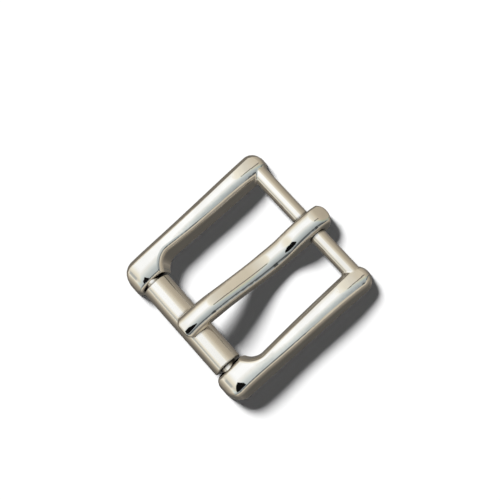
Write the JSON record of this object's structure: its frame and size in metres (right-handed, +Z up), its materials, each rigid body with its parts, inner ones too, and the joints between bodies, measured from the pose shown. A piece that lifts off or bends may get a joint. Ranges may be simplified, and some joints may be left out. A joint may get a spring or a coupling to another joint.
{
  "type": "roller buckle",
  "caption": "Polished cast belt buckle with an open rectangular frame, a turning roller and a pivoting tongue that rests on it.",
  "frame": {"origin": "middle of the whole buckle's footprint, on the surface it lies on", "axes": "+Z up from that surface, +X along the two bars, +Y from the roller to the hinge bar, along the strap"},
  "size_m": [0.0532, 0.0565, 0.0115],
  "materials": {
    "frame_nickel": "mirror-polished nickel plate on a zinc casting",
    "roller_nickel": "polished nickel plate on rolled tube",
    "tongue_nickel": "mirror-polished nickel plate on a zinc casting"
  },
  "bodies": {
    "frame": {"frame": "frame_nickel"},
    "roller": {"roller": "roller_nickel"},
    "tongue": {"tongue": "tongue_nickel"}
  },
  "joints": [
    {"name": "roller_spin", "type": "hinge", "parent": "frame", "child": "roller", "pos_m": [0, -0.02215, 0.00443], "axis": [1, 0, 0], "continuous": true},
    {"name": "tongue_pivot", "type": "hinge", "parent": "frame", "child": "tongue", "pos_m": [0, 0.02155, 0.003], "axis": [-1, 0, 0], "range_deg": [0, 170]}
  ]
}
